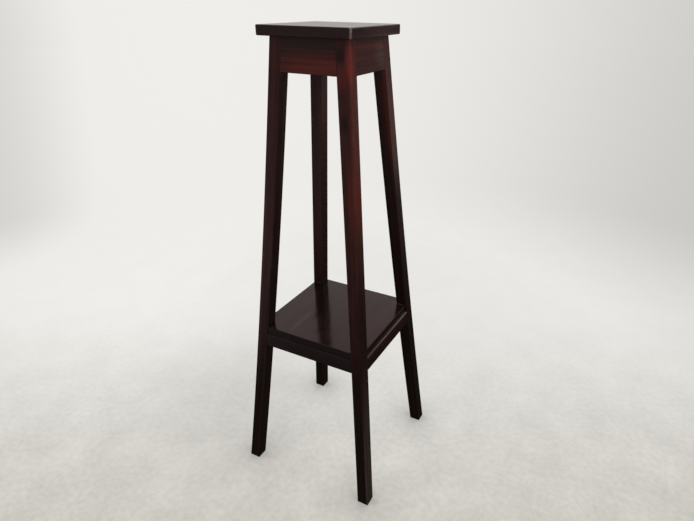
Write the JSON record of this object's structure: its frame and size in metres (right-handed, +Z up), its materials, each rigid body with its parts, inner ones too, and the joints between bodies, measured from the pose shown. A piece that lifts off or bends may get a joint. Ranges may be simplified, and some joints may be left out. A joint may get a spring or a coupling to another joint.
{
  "type": "plant stand",
  "caption": "Tall slim wooden plant stand with a small square overhanging top, splayed legs and a low notched shelf on rails.",
  "frame": {"origin": "on the floor, in the middle of the four feet", "axes": "+Z up; the front faces -Y; +X is to the right seen from the front"},
  "size_m": [0.336, 0.334, 1],
  "materials": {
    "frame_hardwood": "dark red-brown stain under satin-gloss lacquer",
    "board_hardwood": "dark red-brown stain under satin-gloss lacquer",
    "block_softwood": "bare sawn wood",
    "screw_steel": "zinc plated"
  },
  "bodies": {
    "root": {"top_board_left": "board_hardwood", "top_board_right": "board_hardwood", "leg_front_left": "frame_hardwood", "leg_front_right": "frame_hardwood", "leg_back_left": "frame_hardwood", "leg_back_right": "frame_hardwood", "apron_front": "frame_hardwood", "apron_back": "frame_hardwood", "apron_left": "frame_hardwood", "apron_right": "frame_hardwood", "shelf_board_left": "board_hardwood", "shelf_board_middle": "board_hardwood", "shelf_board_right": "board_hardwood", "rail_front": "frame_hardwood", "rail_back": "frame_hardwood", "rail_left": "frame_hardwood", "rail_right": "frame_hardwood", "corner_block_front_left": "block_softwood", "corner_block_front_right": "block_softwood", "corner_block_back_left": "block_softwood", "corner_block_back_right": "block_softwood", "top_screws": "screw_steel", "shelf_screws": "screw_steel"}
  },
  "joints": []
}
